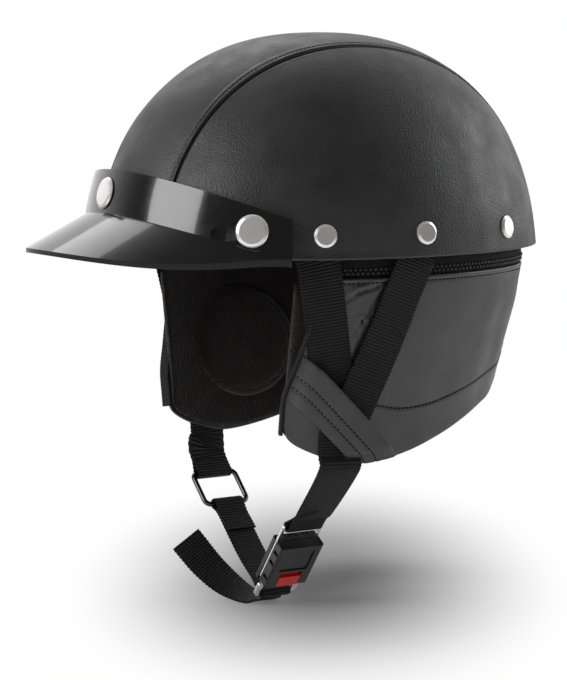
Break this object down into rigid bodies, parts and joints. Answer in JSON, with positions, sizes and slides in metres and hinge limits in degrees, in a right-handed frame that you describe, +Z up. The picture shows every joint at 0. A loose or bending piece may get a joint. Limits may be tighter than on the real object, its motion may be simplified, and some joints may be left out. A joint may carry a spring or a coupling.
{
  "type": "half shell motorcycle helmet",
  "caption": "Leather-covered half shell helmet with a press-stud peak, a zipped neck curtain with padded ear flaps, and a Y-strap harness with a quick-release buckle.",
  "frame": {"origin": "middle of the head opening, in the plane of the shell's lower rim", "axes": "+Z up to the crown, -Y to the front, +X to the wearer's left"},
  "size_m": [0.231, 0.3325, 0.3504],
  "materials": {
    "buckle_plastic": "satin black",
    "button_red": "glossy red",
    "fleece": "dark brown-black fleece",
    "foam": "beaded foam, matte",
    "leather": "matte charcoal, fine pebble grain",
    "leather_trim": "matte charcoal strap leather, smooth grain",
    "nickel": "nickel plate, soft polish",
    "padding": "brushed knit over soft foam",
    "peak_plastic": "glossy black",
    "shell": "moulded black",
    "steel": "bright pressed steel",
    "webbing": "ribbed woven webbing",
    "wire": "black coated wire",
    "zip_metal": "black enamel",
    "zip_tape": "woven tape",
    "zip_teeth": "moulded teeth"
  },
  "bodies": {
    "helmet": {"outer_shell": "shell", "leather_left_panel": "leather", "leather_centre_panel": "leather", "leather_right_panel": "leather", "impact_liner": "foam", "crown_pad": "padding", "headband_pad": "padding", "rim_rivets": "nickel", "rivet_washers": "steel", "curtain_leather": "leather", "curtain_lining": "fleece", "left_ear_pad": "fleece", "right_ear_pad": "fleece", "zip_tape_upper": "zip_tape", "zip_tape_lower": "zip_tape", "zip_teeth_upper": "zip_teeth", "zip_teeth_lower": "zip_teeth", "left_front_strap": "webbing", "left_rear_strap": "webbing", "right_front_strap": "webbing", "right_rear_strap": "webbing", "left_keeper": "leather_trim", "right_keeper": "leather_trim", "left_chin_strap": "webbing", "right_chin_strap": "webbing", "snap_studs": "nickel", "goggle_tab_rivet": "wire", "goggle_tab_stud": "nickel"},
    "peak": {"peak": "peak_plastic", "peak_snap_caps": "nickel", "peak_snap_sockets": "nickel"},
    "goggle_tab": {"goggle_tab": "leather_trim", "goggle_tab_cap": "wire", "goggle_tab_socket": "nickel"},
    "buckle": {"buckle_frame": "steel", "buckle_cover": "buckle_plastic", "buckle_back_cover": "buckle_plastic", "buckle_rivets": "steel", "latch_spring": "steel"},
    "latch": {"latch": "steel"},
    "button": {"release_button": "button_red"},
    "tongue": {"tongue_plate": "steel", "strap_tail": "webbing"},
    "ring": {"slider_ring": "wire", "chin_webbing": "webbing"},
    "zip_slider": {"zip_slider": "zip_metal"},
    "zip_pull": {"zip_pull": "zip_metal"}
  },
  "joints": [
    {"name": "peak_pull_off", "type": "slide", "parent": "helmet", "child": "peak", "axis": [0, -1, 0], "range_m": [0, 0.05], "deforming": ["peak_snap_sockets"]},
    {"name": "goggle_tab_hinge", "type": "hinge", "parent": "helmet", "child": "goggle_tab", "pos_m": [0, 0.14077, 0.031], "axis": [1, 0, 0], "range_deg": [0, 100], "deforming": ["goggle_tab"]},
    {"name": "buckle_swing", "type": "hinge", "parent": "helmet", "child": "buckle", "pos_m": [0.02687, -0.02502, -0.168], "axis": [-0.0993, 0.9951, 0], "range_deg": [-15, 15], "deforming": ["chin_webbing"]},
    {"name": "button_press", "type": "slide", "parent": "buckle", "child": "button", "axis": [0.5975, 0.0596, 0.7997], "range_m": [0, 0.0033], "stiffness_N_per_m": 600, "springref_m": -0.002},
    {"name": "latch_lift", "type": "slide", "parent": "buckle", "child": "latch", "axis": [0.7957, 0.0794, -0.6004], "range_m": [0, 0.0022], "deforming": ["latch_spring"]},
    {"name": "tongue_slide", "type": "slide", "parent": "buckle", "child": "tongue", "axis": [-0.5975, -0.0596, -0.7997], "range_m": [-0.0008, 0], "deforming": ["chin_webbing"]},
    {"name": "ring_tilt", "type": "hinge", "parent": "helmet", "child": "ring", "pos_m": [-0.07363, -0.03505, -0.148], "axis": [-0.0993, 0.9951, 0], "range_deg": [-15, 15], "deforming": ["chin_webbing"]},
    {"name": "zip_slider_run", "type": "hinge", "parent": "helmet", "child": "zip_slider", "pos_m": [0.05102, 0.00021, -0.0091], "axis": [0, 0, -1], "range_deg": [0, 20.75]},
    {"name": "zip_pull_hinge", "type": "hinge", "parent": "zip_slider", "child": "zip_pull", "pos_m": [-0.09643, -0.04326, -0.0091], "axis": [0, 0, 1], "range_deg": [0, 60]}
  ],
  "couplings": [
    {"joint": "latch_lift", "follows": "button_press", "ratio": 0.66667}
  ]
}
